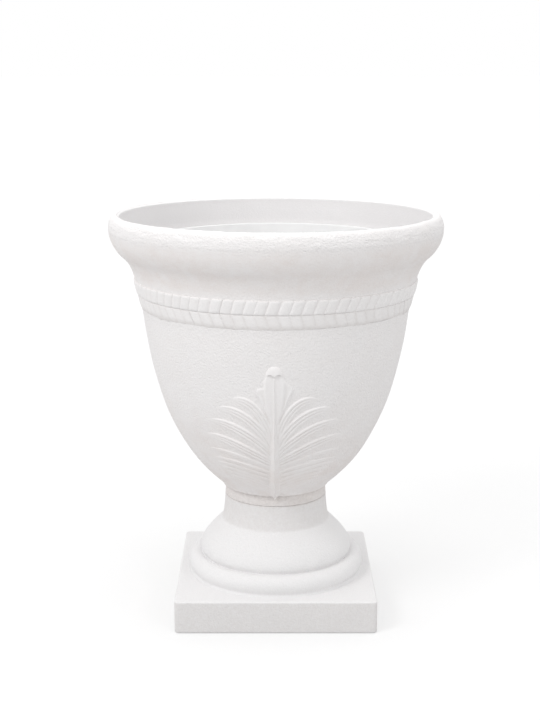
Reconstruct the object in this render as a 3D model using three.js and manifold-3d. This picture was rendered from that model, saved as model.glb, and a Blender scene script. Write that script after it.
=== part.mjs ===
// Urn planter: a moulded bowl on a moulded pedestal, with a lift-out planting liner inside.
// Millimetres, +Z up. The origin is on the floor under the middle of the plinth, and the
// two leaves on the bowl face -Y and +Y.
import * as THREE from 'three';
import { mergeVertices } from 'three/addons/utils/BufferGeometryUtils.js';
import Module from 'manifold-3d';

const wasm = await Module();
wasm.setup();

// ---- Driving dimensions ----

const overallHeight = 475;
const gap = 0.3;                  // between any two pieces that touch
const wall = 4;                   // moulded wall of the bowl and the pedestal

// Plinth, torus, ogee and neck of the pedestal, from the floor up.
const plinthWidth = 235;
const plinthHeight = 39;
const plinthCorner = 5;           // radius of its upright corners
const plinthEdge = 2;             // rounding of its top and bottom edges
const torusRadius = 95;           // circle that the torus is swept along
const torusSection = 12;          // radius of its half-round
const torusSink = 1;              // how far it is sunk into the plinth
const ogeeRadius = 92;            // where the ogee swells most
const ogeeHeight = 45;
const ogeeSwellHeight = 8;        // swell above the ogee's own foot
const ogeeSink = 2;               // the ogee's foot lies this far below the torus crest
const ogeeSlope = 45;             // degrees, where it leaves the neck
const neckFootRadius = 64.6;
const neckTopRadius = 61.2;
const neckHeight = 30;
const neckFlare = 0.8;            // how little it widens over its upper half

// Joint between the pedestal and the bowl.
const socketDepth = 10;
const deckThickness = 4;
const floorThickness = 5;
const screwCount = 4;
const screwCircle = 38;           // radius of the circle of screws
const screwStart = 45;            // degrees round to the first of them
const screwRadius = 2.4;
const screwLength = 28;
const screwHeadRadius = 5;
const screwHeadHeight = 3;
const washerRadius = 7;
const washerThickness = 1.5;
const bossRadius = 6.5;
const bossLength = 24;
const gussetThickness = 2.5;

// Drain and its plug.
const drainRadius = 10;
const deckDrainRadius = 14;
const plugFlangeRadius = 14;
const plugFlangeHeight = 3;
const plugTaper = 0.6;            // loss of radius down the plug's body
const plugBelowFloor = 4;
const plugKnobRadius = 5;
const plugKnobHeight = 9;

// Bowl, outside: collar, wall, rope band, cove and lip.
const collarFootRadius = 61;
const collarTopRadius = 62.4;
const collarHeight = 14.5;
const collarBead = 1;             // swell of the collar below the wall
const wallFootAngle = 38;         // degrees from the horizontal
const wallTopAngle = 83;
const wallTopRadius = 156.6;
const coveFootRadius = 165.6;
const coveFootAngle = 77;
const coveHeight = 26.5;
const lipFootRadius = 180;
const lipFootAngle = 40;
const lipRadius = 195;
const lipUnderHeight = 31;
const lipTopHeight = 16;
const lipTopReach = 8;            // from the widest circle in to the top of the lip
const rimInnerRadius = 183.6;
const rimFall = 2.5;              // rounding that falls to the inside of the rim
const rimFallReach = 5;

// Rope band: two rows of strands that lean against each other.
const strandCount = 80;
const strandRowHeight = 16.5;
const bandTopMargin = 1.5;        // cove foot to the upper row
const bandFootMargin = 6;         // lower row to the top of the wall
const rimJointDrop = 1;           // lower row to the joint between the bowl and its rim
const strandLean = 0.5;           // sideways run of a strand over its row, in strands
const upperStrandRise = 2.4;
const upperGrooveDepth = 1.8;
const lowerStrandRise = 2;
const lowerGrooveDepth = 0.8;
const rowGrooveDepth = 1;         // groove between the two rows
const strandCrest = 0.35;         // crest's place across a strand
const strandEdge = 1.5;           // height over which a row rises from its edge

// Leaf: fronds spring from a midrib and end on an oval outline.
const leafFrondPairs = 8;
const leafReach = 38;             // degrees round the bowl, at the widest fronds
const leafOvalHeight = 205;       // height of the oval's middle above the floor
const leafOvalAbove = 91.6;
const leafOvalBelow = 50;
const leafTopFrond = 61;          // degrees up the oval
const leafFootFrond = -45;
const frondRootTop = 252;
const frondRootFoot = 163;
const frondRootTurn = 3;          // degrees from the midrib
const frondDroop = 1.2;           // how far past level the tips curl
const frondWidth = 12;
const frondRise = 2.6;
const midribWidth = 7;
const midribRise = 2.8;
const midribTop = 308;
const midribTail = 6;             // its point hangs this far down over the collar
const bladeWidth = 23;
const bladeFoot = 170;
const bladeTop = 315;
const bladeRise = 2.5;
const lobeFoot = 266;
const lobeTop = 300;
const lobeTurn = 7.6;
const lobeWidth = 9;
const curlWidth = 17;
const curlHeight = 10.5;
const curlRise = 4.5;
const reliefRoot = 1.2;           // how deep the relief is rooted in the wall
const frondCrowding = 1.15;       // how much closer the roots stand towards the foot
const frondSkew = 0.35;           // how far a frond's crest lies to its upper side

// Planting liner.
const linerWall = 2;
const linerBaseRadius = 112;
const linerRimRadius = 148;
const linerHeight = 234;
const linerBead = 1.5;
const linerBeadHeight = 4;
const linerFoot = 6;              // chamfer that seats on the inside of the bowl
const linerHoleRadius = 8;        // one drain hole, in line with the plug under it

// Facets.
const bowlFacets = strandCount;   // outside of the bowl, half as many at its foot
const halfFacetRadius = 125;      // below this radius
const turnedFacets = 32;          // pedestal, collar, inside of the bowl and liner
const hollowFacets = 16;          // inside of the pedestal
const torusFacets = 10;           // across the torus
const drainFacets = 20;
const smallFacets = 8;
const frondSteps = 3;

// ---- Heights worked out from them ----

const torusMiddle = plinthHeight + torusSection - torusSink;
const torusTop = torusMiddle + torusSection;
const ogeeFoot = torusTop - ogeeSink;
const neckFoot = ogeeFoot + ogeeHeight;
const pedestalTop = neckFoot + neckHeight;
const deckTop = pedestalTop - socketDepth;
const bowlFloorFoot = deckTop + gap;
const bowlFloorTop = bowlFloorFoot + floorThickness;
const collarFoot = pedestalTop + gap;
const wallFoot = collarFoot + collarHeight;
const lipWidest = overallHeight - lipTopHeight;
const lipFoot = lipWidest - lipUnderHeight;
const coveFoot = lipFoot - coveHeight;
const bandTop = coveFoot - bandTopMargin;
const bandMiddle = bandTop - strandRowHeight;
const bandFoot = bandMiddle - strandRowHeight;
const rimJoint = bandFoot - rimJointDrop;
const wallTop = bandFoot - bandFootMargin;
const socketRadius = neckTopRadius - wall;
const spigotRadius = socketRadius - gap;
const screwHoleRadius = screwRadius + gap;

// ---- Helpers ----

const radians = THREE.MathUtils.degToRad;
const point = (r, z) => new THREE.Vector2(r, z);

// A closed three.js geometry as a solid, with its faces pointing out.
function solid(geometry) {
  const bare = new THREE.BufferGeometry();
  bare.setAttribute('position', geometry.getAttribute('position').clone());
  bare.setIndex(geometry.index ? geometry.index.clone() : null);
  const merged = mergeVertices(bare, 1e-3);
  const index = merged.index.array;
  const triangles = [];
  for (let i = 0; i < index.length; i += 3) {
    const [a, b, c] = [index[i], index[i + 1], index[i + 2]];
    if (a !== b && b !== c && c !== a) triangles.push(a, b, c);
  }
  const vertProperties = Float32Array.from(merged.getAttribute('position').array);
  const make = (order) => new wasm.Manifold(
    new wasm.Mesh({ numProp: 3, vertProperties, triVerts: Uint32Array.from(order) }));
  const body = make(triangles);
  return body.volume() > 0 ? body : make(triangles.reverse());
}

// A solid as a three.js geometry.
function geometryOf(body) {
  const mesh = body.getMesh();
  const geometry = new THREE.BufferGeometry();
  geometry.setAttribute('position', new THREE.BufferAttribute(mesh.vertProperties, 3));
  geometry.setIndex(new THREE.BufferAttribute(mesh.triVerts, 1));
  geometry.computeVertexNormals();
  return geometry;
}

// A profile of (radius, height) points turned round the Z axis.
function turned(points, facets) {
  return solid(new THREE.LatheGeometry(points, facets).rotateX(Math.PI / 2));
}

// An upright cylinder between two heights.
function post(radius, from, to, facets = smallFacets) {
  return turned([point(0, from), point(radius, from), point(radius, to), point(0, to)], facets);
}

// A profile curve between two points, each with its slope in degrees and the pull of its
// handle as a share of the straight distance.
function curveBetween(start, end, steps) {
  const span = Math.hypot(end.r - start.r, end.z - start.z);
  const handle = (p, side) => {
    const reach = side * p.pull * span;
    return point(p.r + reach * Math.cos(radians(p.slope)), p.z + reach * Math.sin(radians(p.slope)));
  };
  return new THREE.CubicBezierCurve(
    point(start.r, start.z), handle(start, 1), handle(end, -1), point(end.r, end.z)).getPoints(steps);
}

// A quarter of an ellipse, from one angle to another in degrees.
function arc(middle, radiusX, radiusY, from, to, steps) {
  return new THREE.EllipseCurve(middle.x, middle.y, radiusX, radiusY,
    radians(from), radians(to), to < from).getPoints(steps);
}

// The same profile moved sideways by a wall's thickness, to the left as one goes along it.
function inset(points, thickness) {
  return points.map((p, i) => {
    const before = points[Math.max(i - 1, 0)];
    const after = points[Math.min(i + 1, points.length - 1)];
    const along = after.clone().sub(before).normalize();
    return point(p.x - along.y * thickness, p.y + along.x * thickness);
  });
}

// Copies of a solid set evenly round the Z axis.
function ringOf(body, count, startDegrees) {
  const copies = [];
  for (let i = 0; i < count; i += 1) copies.push(body.rotate([0, 0, startDegrees + i * 360 / count]));
  return copies;
}

const unionOf = (bodies) => wasm.Manifold.union(bodies);

// ---- Outside of the bowl, as one profile from the wall's foot to the widest circle ----

function bodyProfileIn(wallSteps, coveSteps, lipSteps) {
  const wallProfile = curveBetween(
    { r: collarTopRadius, z: wallFoot, slope: wallFootAngle, pull: 0.35 },
    { r: wallTopRadius, z: wallTop, slope: wallTopAngle, pull: 0.355 }, wallSteps);
  const coveProfile = curveBetween(
    { r: coveFootRadius, z: coveFoot, slope: coveFootAngle, pull: 0.37 },
    { r: lipFootRadius, z: lipFoot, slope: lipFootAngle, pull: 0.29 }, coveSteps);
  const lipProfile = curveBetween(
    { r: lipFootRadius, z: lipFoot, slope: lipFootAngle, pull: 0.28 },
    { r: lipRadius, z: lipWidest, slope: 90, pull: 0.36 }, lipSteps);
  return { below: wallProfile, above: [...coveProfile, ...lipProfile.slice(1)] };
}

const bodyParts = bodyProfileIn(7, 3, 3);
const bodyProfile = [...bodyParts.below, ...bodyParts.above];

// Radius of a rising profile at a height.
function radiusAt(profile, z) {
  const last = profile.length - 2;
  const i = Math.min(Math.max(profile.findIndex((p) => p.y > z) - 1, 0), last);
  const share = (z - profile[i].y) / (profile[i + 1].y - profile[i].y);
  return THREE.MathUtils.lerp(profile[i].x, profile[i + 1].x, share);
}

// Height at which a widening profile reaches a radius.
function heightAt(profile, radius) {
  const i = profile.findIndex((p) => p.x > radius) - 1;
  const share = (radius - profile[i].x) / (profile[i + 1].x - profile[i].x);
  return THREE.MathUtils.lerp(profile[i].y, profile[i + 1].y, share);
}

// Inside of the bowl: the outside moved in by the wall, up to where the rim stands straight.
const insideParts = bodyProfileIn(5, 2, 2);
const insideProfile = inset([...insideParts.below, ...insideParts.above], wall)
  .filter((p) => p.x < rimInnerRadius - 1);

// ---- Rope band ----

// A level ring of points: its facets, its height, the places of its points across a facet, the
// radius at each of them, and how many facets the whole ring is turned by.
function levelRing(facets, z, places, radiusAtPlace, shear = 0) {
  const ring = [];
  for (let i = 0; i < facets * places.length; i += 1) {
    const place = i % places.length;
    const turn = (Math.floor(i / places.length) + places[place] + shear) * 2 * Math.PI / facets;
    const radius = radiusAtPlace(place);
    ring.push(new THREE.Vector3(radius * Math.cos(turn), radius * Math.sin(turn), z));
  }
  return ring;
}

const plainRing = (p, facets) => levelRing(facets, p.y, [0], () => p.x);

// The slope between the wall and the cove, which carries the band.
function seatRadius(z) {
  return THREE.MathUtils.mapLinear(z, wallTop, coveFoot, wallTopRadius, coveFootRadius);
}

const seatRing = (z) => plainRing(point(seatRadius(z), z), bowlFacets);

// Two rows of strands on that slope. Every ring of a row has two points a strand, its groove and
// its crest, and is sheared by the strands' lean.
function ropeRings() {
  const row = (z, rise, groove, shear) => levelRing(strandCount, z, [0, strandCrest],
    (place) => seatRadius(z) + rise - (place === 0 ? groove : 0), shear);
  return [
    row(bandFoot, lowerStrandRise * 0.5, lowerGrooveDepth, 0),
    row(bandFoot + strandEdge, lowerStrandRise, lowerGrooveDepth, 0),
    row(bandMiddle - strandEdge, lowerStrandRise, lowerGrooveDepth, -strandLean),
    row(bandMiddle, upperStrandRise - rowGrooveDepth, 0, -strandLean),
    row(bandMiddle + strandEdge, upperStrandRise, upperGrooveDepth, -strandLean),
    row(bandTop - strandEdge, upperStrandRise, upperGrooveDepth, 0),
  ];
}

// A solid through level rings from the foot up, closed by flat ends. A ring has as many points
// as its neighbour, or twice or half as many.
function loft(rings) {
  const positions = [];
  const starts = [];
  for (const ring of rings) {
    starts.push(positions.length / 3);
    for (const p of ring) positions.push(...p);
  }
  const index = [];
  const band = (coarse, fine, coarseCount, fineCount, flip) => {
    const ratio = fineCount / coarseCount;
    const add = (a, b, c) => (flip ? index.push(a, c, b) : index.push(a, b, c));
    for (let i = 0; i < coarseCount; i += 1) {
      const [a, b] = [coarse + i, coarse + (i + 1) % coarseCount];
      const half = Math.floor(ratio / 2);
      for (let k = 0; k < ratio; k += 1) {
        const [c, d] = [fine + i * ratio + k, fine + (i * ratio + k + 1) % fineCount];
        add(k < half ? a : b, d, c);
      }
      add(a, b, fine + (i * ratio + half) % fineCount);
    }
  };
  for (let i = 1; i < rings.length; i += 1) {
    const [low, high] = [rings[i - 1].length, rings[i].length];
    if (low <= high) band(starts[i - 1], starts[i], low, high, false);
    else band(starts[i], starts[i - 1], high, low, true);
  }
  const cap = (start, count, z, up) => {
    positions.push(0, 0, z);
    const middle = positions.length / 3 - 1;
    for (let i = 0; i < count; i += 1) {
      const [a, b] = [start + i, start + (i + 1) % count];
      index.push(middle, ...(up ? [a, b] : [b, a]));
    }
  };
  const last = rings.length - 1;
  cap(0, rings[0].length, rings[0][0].z, false);
  cap(starts[last], rings[last].length, rings[last][0].z, true);
  const geometry = new THREE.BufferGeometry();
  geometry.setAttribute('position', new THREE.Float32BufferAttribute(positions, 3));
  geometry.setIndex(index);
  return solid(geometry);
}

// ---- Leaf ----

// A place on the outside of the bowl: degrees round from the leaf's middle line, height above
// the floor, and how far it is lifted off the wall.
function onWall(turn, z, lift) {
  const step = 1;
  const place = Math.max(z, wallFoot);
  const radius = radiusAt(bodyProfile, place);
  const slope = (radiusAt(bodyProfile, place + step) - radius) / step;
  const tilt = Math.hypot(1, slope);
  const out = radius + lift / tilt;
  const up = z - lift * slope / tilt;
  const angle = radians(turn);
  return new THREE.Vector3(out * Math.sin(angle), -out * Math.cos(angle), up);
}

// A relief that follows a line on the wall. line, width and rise are functions of t from 0 to 1.
// section lists its corners across the line: a place from 1 on one edge to -1 on the other, and a
// share of the rise, where a negative share is the root in the wall.
function relief({ line, width, rise, section, steps }) {
  const corners = section.length;
  const positions = [];
  const index = [];
  for (let i = 0; i <= steps; i += 1) {
    const t = i / steps;
    const [turn, z] = line(t);
    const [turnNext, zNext] = line(t + 0.01);
    const foot = onWall(turn, z, 0);
    const out = onWall(turn, z, 1).sub(foot);
    const along = onWall(turnNext, zNext, 0).sub(foot).normalize();
    const side = along.cross(out).multiplyScalar(width(t) / 2);
    for (const [across, share] of section) {
      const lift = share < 0 ? -reliefRoot : share * rise(t);
      positions.push(...foot.clone().addScaledVector(side, across).addScaledVector(out, lift));
    }
  }
  for (let i = 0; i < steps; i += 1) {
    for (let k = 0; k < corners; k += 1) {
      const [a, b] = [corners * i + k, corners * i + (k + 1) % corners];
      index.push(a, b, a + corners, b, b + corners, a + corners);
    }
  }
  const last = corners * steps;
  for (let k = 1; k < corners - 1; k += 1) {
    index.push(0, k + 1, k, last, last + k, last + k + 1);
  }
  const geometry = new THREE.BufferGeometry();
  geometry.setAttribute('position', new THREE.Float32BufferAttribute(positions, 3));
  geometry.setIndex(index);
  return solid(geometry);
}

const ridgeSection = (crest) => [[1, -1], [crest, 1], [-1, -1]];
const slabSection = [[1, -1], [0.9, 0.7], [0, 1], [-0.9, 0.7], [-1, -1]];

// Frond number i of a side: it climbs steeply from the midrib and levels out towards its tip.
function frond(i, side) {
  const share = i / (leafFrondPairs - 1);
  const up = radians(THREE.MathUtils.lerp(leafTopFrond, leafFootFrond, share));
  const tipTurn = leafReach * Math.cos(up);
  const tipHeight = leafOvalHeight + Math.sin(up) * (up > 0 ? leafOvalAbove : leafOvalBelow);
  const rootHeight = THREE.MathUtils.lerp(frondRootFoot, frondRootTop, (1 - share) ** frondCrowding);
  const bend = frondDroop * Math.PI / 2;
  return relief({
    line: (t) => [
      side * THREE.MathUtils.lerp(frondRootTurn, tipTurn, t),
      rootHeight + (tipHeight - rootHeight) * Math.sin(bend * t) / Math.sin(bend)],
    width: (t) => frondWidth * (0.55 + 0.6 * t - t ** 3),
    rise: (t) => frondRise * (0.8 + 0.6 * t - 1.3 * t ** 3),
    section: ridgeSection(-frondSkew * side),
    steps: frondSteps,
  });
}

function leaf() {
  const upright = (from, to) => (t) => [0, THREE.MathUtils.lerp(from, to, t)];
  const pieces = [
    relief({
      line: upright(wallFoot - midribTail, midribTop),
      width: (t) => midribWidth * Math.min(1, 0.25 + 8 * t) * (1 - 0.5 * t),
      rise: (t) => midribRise * Math.min(1, 0.4 + 8 * t),
      section: ridgeSection(0),
      steps: 5,
    }),
    relief({
      line: upright(bladeFoot, bladeTop),
      width: (t) => bladeWidth * (0.55 + 1.1 * t ** 3 - 0.95 * t ** 8),
      rise: () => bladeRise,
      section: slabSection,
      steps: 6,
    }),
  ];
  // The tip of the leaf curls over: the upper part of an egg that stands out over the blade.
  const seat = onWall(0, bladeTop, 0);
  const egg = solid(new THREE.SphereGeometry(1, 10, 8).scale(curlWidth / 2, curlRise, curlHeight)
    .translate(seat.x, seat.y, bladeTop));
  const over = solid(new THREE.BoxGeometry(2 * curlWidth, 4 * curlRise, curlHeight + 1)
    .translate(seat.x, seat.y, bladeTop + curlHeight / 2));
  pieces.push(egg.intersect(over));
  for (const side of [-1, 1]) {
    pieces.push(relief({
      line: (t) => [side * lobeTurn * (0.4 + 0.6 * t), THREE.MathUtils.lerp(lobeFoot, lobeTop, t)],
      width: (t) => lobeWidth * (0.5 + 0.5 * t),
      rise: () => bladeRise,
      section: slabSection,
      steps: 2,
    }));
    for (let i = 0; i < leafFrondPairs; i += 1) pieces.push(frond(i, side));
  }
  return unionOf(pieces);
}

// ---- Bowl and its rim ----

// Inside of the bowl and its rim, as one solid to cut away.
function bowlHollow() {
  const rimFoot = insideProfile[insideProfile.length - 1].y + wall;
  return turned([
    point(0, bowlFloorTop),
    point(spigotRadius - wall, bowlFloorTop),
    point(spigotRadius - wall, collarFoot + gap),
    ...insideProfile,
    point(rimInnerRadius, rimFoot),
    point(rimInnerRadius, overallHeight + 1),
    point(0, overallHeight + 1),
  ], turnedFacets);
}

function bowl() {
  const spigotEdge = 1;
  const collar = turned([
    point(0, bowlFloorFoot),
    point(spigotRadius - spigotEdge, bowlFloorFoot),
    point(spigotRadius, bowlFloorFoot + spigotEdge),
    point(spigotRadius, collarFoot),
    point(collarFootRadius, collarFoot),
    point(collarFootRadius, collarFoot + collarHeight * 0.25),
    point(collarTopRadius + collarBead, wallFoot - collarHeight * 0.25),
    point(collarTopRadius, wallFoot),
    point(collarTopRadius - wall / 2, wallFoot + wall / 2),
    point(0, wallFoot + wall / 2),
  ], turnedFacets);
  const body = loft([
    ...bodyParts.below.map((p) => plainRing(p, p.x < halfFacetRadius ? bowlFacets / 2 : bowlFacets)),
    seatRing(rimJoint),
  ]);
  const through = [bowlFloorFoot - 1, bowlFloorTop + 1];
  const screwHole = post(screwHoleRadius, ...through).translate([screwCircle, 0, 0]);
  const holes = [post(drainRadius, ...through, drainFacets), ...ringOf(screwHole, screwCount, screwStart)];
  const frontLeaf = leaf();
  return unionOf([collar, body, frontLeaf, frontLeaf.rotate([0, 0, 180])])
    .subtract(unionOf([bowlHollow(), ...holes]));
}

// Rope band, cove and rolled lip, moulded as one ring that is bonded onto the bowl.
function bowlRim() {
  const lipTop = arc(point(lipRadius - lipTopReach, lipWidest), lipTopReach, lipTopHeight, 0, 90, 3);
  const rimTop = arc(point(lipRadius - lipTopReach, overallHeight - rimFall), rimFallReach, rimFall,
    90, 180, 2);
  const profile = [...bodyParts.above, ...lipTop.slice(1), ...rimTop.slice(1)];
  return loft([
    seatRing(rimJoint + gap),
    ...ropeRings(),
    ...profile.map((p) => plainRing(p, bowlFacets)),
  ]).subtract(bowlHollow());
}

// ---- Pedestal ----

// A square block with rounded upright corners and rounded edges.
function squareBlock(width, from, to, corner, edge) {
  const half = width / 2 - edge;
  const round = Math.max(corner - edge, 0.5);
  const outline = new THREE.Shape();
  outline.moveTo(half, -half + round);
  outline.lineTo(half, half - round);
  outline.absarc(half - round, half - round, round, 0, Math.PI / 2);
  outline.lineTo(-half + round, half);
  outline.absarc(-half + round, half - round, round, Math.PI / 2, Math.PI);
  outline.lineTo(-half, -half + round);
  outline.absarc(-half + round, -half + round, round, Math.PI, 1.5 * Math.PI);
  outline.lineTo(half - round, -half);
  outline.absarc(half - round, -half + round, round, 1.5 * Math.PI, 2 * Math.PI);
  const block = new THREE.ExtrudeGeometry(outline, {
    depth: to - from - 2 * edge,
    curveSegments: 3,
    bevelEnabled: edge > 0,
    bevelSize: edge,
    bevelThickness: edge,
    bevelSegments: 2,
  });
  return solid(block.translate(0, 0, from + edge));
}

function pedestal() {
  const neck = new THREE.QuadraticBezierCurve(
    point(neckTopRadius, pedestalTop),
    point(neckTopRadius + neckFlare, neckFoot + neckHeight * 0.35),
    point(neckFootRadius, neckFoot)).getPoints(3);
  const swell = ogeeFoot + ogeeSwellHeight;
  const ogee = curveBetween(
    { r: neckFootRadius, z: neckFoot, slope: -ogeeSlope, pull: 0.43 },
    { r: ogeeRadius, z: swell, slope: -90, pull: 0.22 }, 5);
  const tuck = arc(point(ogeeRadius - ogeeSwellHeight, swell), ogeeSwellHeight, ogeeSwellHeight,
    0, -60, 3).slice(1);
  const tuckFoot = tuck[tuck.length - 1];
  const outside = turned([
    point(0, pedestalTop), ...neck, ...ogee.slice(1), ...tuck,
    point(tuckFoot.x, plinthHeight - 1), point(0, plinthHeight - 1),
  ], turnedFacets);
  const torus = solid(new THREE.TorusGeometry(torusRadius, torusSection, torusFacets, turnedFacets)
    .translate(0, 0, torusMiddle));
  const plinth = squareBlock(plinthWidth, 0, plinthHeight, plinthCorner, plinthEdge);

  const hollow = inset([...ogee].reverse(), wall).reverse();
  const groove = arc(point(torusRadius, torusMiddle), torusSection - wall, torusSection - wall,
    120, -120, 4);
  const inside = turned([
    point(0, deckTop - deckThickness),
    point(socketRadius, deckTop - deckThickness),
    ...hollow,
    point(tuckFoot.x - wall - 1, ogeeFoot - wall),
    ...groove,
    point(groove[groove.length - 1].x, plinthHeight - wall - 1),
    point(0, plinthHeight - wall - 1),
  ], hollowFacets);
  const under = squareBlock(plinthWidth - 2 * wall, -1, plinthHeight - wall, plinthCorner, 0);
  const socket = post(socketRadius, deckTop, pedestalTop + 1, turnedFacets);
  const shell = unionOf([outside, torus, plinth]).subtract(unionOf([inside, under, socket]));

  const bossFoot = deckTop - deckThickness - bossLength;
  const boss = post(bossRadius, bossFoot, deckTop - 1).translate([screwCircle, 0, 0]);
  const gussetReach = socketRadius - screwCircle + wall / 2;
  const gusset = solid(new THREE.BoxGeometry(gussetReach, gussetThickness, bossLength + 2)
    .translate(screwCircle + gussetReach / 2, 0, bossFoot + bossLength / 2 + 1));
  const pilot = post(screwHoleRadius, bossFoot - 1, deckTop + 1).translate([screwCircle, 0, 0]);
  const drain = post(deckDrainRadius, bossFoot, deckTop + 1, drainFacets);
  return unionOf([shell, ...ringOf(boss.add(gusset), screwCount, screwStart)])
    .subtract(unionOf([drain, ...ringOf(pilot, screwCount, screwStart)]));
}

// ---- Liner, plug, screws and washers ----

function liner() {
  const foot = heightAt(insideProfile, linerBaseRadius + gap) - linerFoot;
  const top = foot + linerHeight;
  return turned([
    point(linerHoleRadius, foot),
    point(linerBaseRadius - linerFoot, foot),
    point(linerBaseRadius, foot + linerFoot),
    point(linerRimRadius, top - linerBeadHeight),
    point(linerRimRadius + linerBead, top - linerBeadHeight),
    point(linerRimRadius + linerBead, top),
    point(linerRimRadius - linerWall, top),
    point(linerBaseRadius - linerWall, foot + linerFoot),
    point(linerBaseRadius - linerFoot, foot + linerWall),
    point(linerHoleRadius, foot + linerWall),
    point(linerHoleRadius, foot),
  ], turnedFacets);
}

function drainPlug() {
  const seat = bowlFloorTop + gap;
  const body = drainRadius - gap;
  const crown = seat + plugFlangeHeight;
  const knob = arc(point(0, crown + plugKnobHeight - plugKnobRadius), plugKnobRadius, plugKnobRadius,
    -50, 90, 4);
  return turned([
    point(0, bowlFloorFoot - plugBelowFloor),
    point(body - plugTaper - 1, bowlFloorFoot - plugBelowFloor),
    point(body - plugTaper, bowlFloorFoot - plugBelowFloor + 1),
    point(body, seat),
    point(plugFlangeRadius, seat),
    point(plugFlangeRadius, crown - 1),
    point(plugFlangeRadius - 1, crown),
    point(plugKnobRadius * 0.6, crown),
    ...knob,
  ], drainFacets);
}

const washerFoot = bowlFloorTop + gap;
const headFoot = washerFoot + washerThickness + gap;

function screw() {
  const crown = arc(point(0, headFoot + screwHeadHeight * 0.4), screwHeadRadius,
    screwHeadHeight * 0.6, 0, 90, 3);
  return turned([
    point(0, headFoot - screwLength),
    point(screwRadius, headFoot - screwLength + 2 * screwRadius),
    point(screwRadius, headFoot),
    point(screwHeadRadius, headFoot),
    ...crown,
  ], smallFacets);
}

function washer() {
  return post(washerRadius, washerFoot, washerFoot + washerThickness)
    .subtract(post(screwHoleRadius, washerFoot - 1, washerFoot + washerThickness + 1));
}

// ---- The planter ----

const stoneResin = { color: 0xeeece9, roughness: 0.85, metalness: 0 };
const linerPlastic = { color: 0xf3f2f0, roughness: 0.6, metalness: 0 };
const plugRubber = { color: 0x3a3a3a, roughness: 0.8, metalness: 0 };
const screwSteel = { color: 0xb4b6b8, roughness: 0.35, metalness: 0.9 };

const planter = new THREE.Group();
planter.name = 'urn_planter';

function addPiece(name, body, finish) {
  const mesh = new THREE.Mesh(geometryOf(body), new THREE.MeshStandardMaterial(finish));
  mesh.name = name;
  planter.add(mesh);
  return mesh;
}

addPiece('pedestal', pedestal(), stoneResin);
addPiece('bowl', bowl(), stoneResin);
addPiece('bowl_rim', bowlRim(), stoneResin);
addPiece('liner', liner(), linerPlastic);
addPiece('drain_plug', drainPlug(), plugRubber);

for (let i = 0; i < screwCount; i += 1) {
  const angle = radians(screwStart + i * 360 / screwCount);
  const place = [screwCircle * Math.cos(angle), screwCircle * Math.sin(angle), 0];
  addPiece(`screw_${i + 1}`, screw(), screwSteel).position.set(...place);
  addPiece(`screw_washer_${i + 1}`, washer(), plugRubber).position.set(...place);
}

export default planter;
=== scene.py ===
import bpy
import numpy as np
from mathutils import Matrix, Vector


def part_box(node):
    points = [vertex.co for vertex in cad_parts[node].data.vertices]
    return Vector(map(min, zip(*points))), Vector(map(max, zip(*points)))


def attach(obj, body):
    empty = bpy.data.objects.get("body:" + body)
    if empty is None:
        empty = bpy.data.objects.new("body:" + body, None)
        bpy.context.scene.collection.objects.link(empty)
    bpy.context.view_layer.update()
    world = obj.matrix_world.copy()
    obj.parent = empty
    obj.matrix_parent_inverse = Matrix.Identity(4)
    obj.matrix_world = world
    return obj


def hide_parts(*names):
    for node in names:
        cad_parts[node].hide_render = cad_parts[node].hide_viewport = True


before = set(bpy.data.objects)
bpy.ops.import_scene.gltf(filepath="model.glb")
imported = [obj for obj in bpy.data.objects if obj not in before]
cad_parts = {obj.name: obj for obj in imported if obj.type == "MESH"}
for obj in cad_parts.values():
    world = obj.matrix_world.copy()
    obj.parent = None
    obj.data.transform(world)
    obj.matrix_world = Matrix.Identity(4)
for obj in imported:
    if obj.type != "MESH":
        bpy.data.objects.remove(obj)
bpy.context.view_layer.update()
print("frame loaded with", len(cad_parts), "nodes")

mm = 0.001  # every size below is in millimetres, and becomes metres when its mesh is made


# Lines are arrays of (radius, height).

def bezier(start, end, count):
    # Cubic curve between two (radius, height, slope, pull). Slope is in degrees, and pull is the
    # handle's length as a share of the straight span.
    a, b = np.array(start[:2], float), np.array(end[:2], float)
    span = np.linalg.norm(b - a)
    reach = [p[3] * span * np.array([np.cos(np.radians(p[2])), np.sin(np.radians(p[2]))])
             for p in (start, end)]
    t = np.linspace(0, 1, count)[:, None]
    c, d = a + reach[0], b - reach[1]
    return (1 - t) ** 3 * a + 3 * (1 - t) ** 2 * t * c + 3 * (1 - t) * t ** 2 * d + t ** 3 * b


def arc(middle, radii, fromAngle, toAngle, count):
    # Stretch of an ellipse, or of a circle where radii is one number. Angles are in degrees.
    a = np.radians(np.linspace(fromAngle, toAngle, count))[:, None]
    return np.array(middle) + np.array(radii) * np.concatenate([np.cos(a), np.sin(a)], axis=1)


def straight(start, end, count):
    # Even steps between two points.
    return np.linspace(np.array(start[:2], float), np.array(end[:2], float), count)


def path(*stretches):
    # The stretches one after another, without the points that repeat the one before.
    line = np.vstack([np.atleast_2d(np.array(s, float)) for s in stretches])
    step = np.linalg.norm(np.diff(line, axis=0), axis=1)
    return line[np.r_[True, step > 1e-4]]


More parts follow.
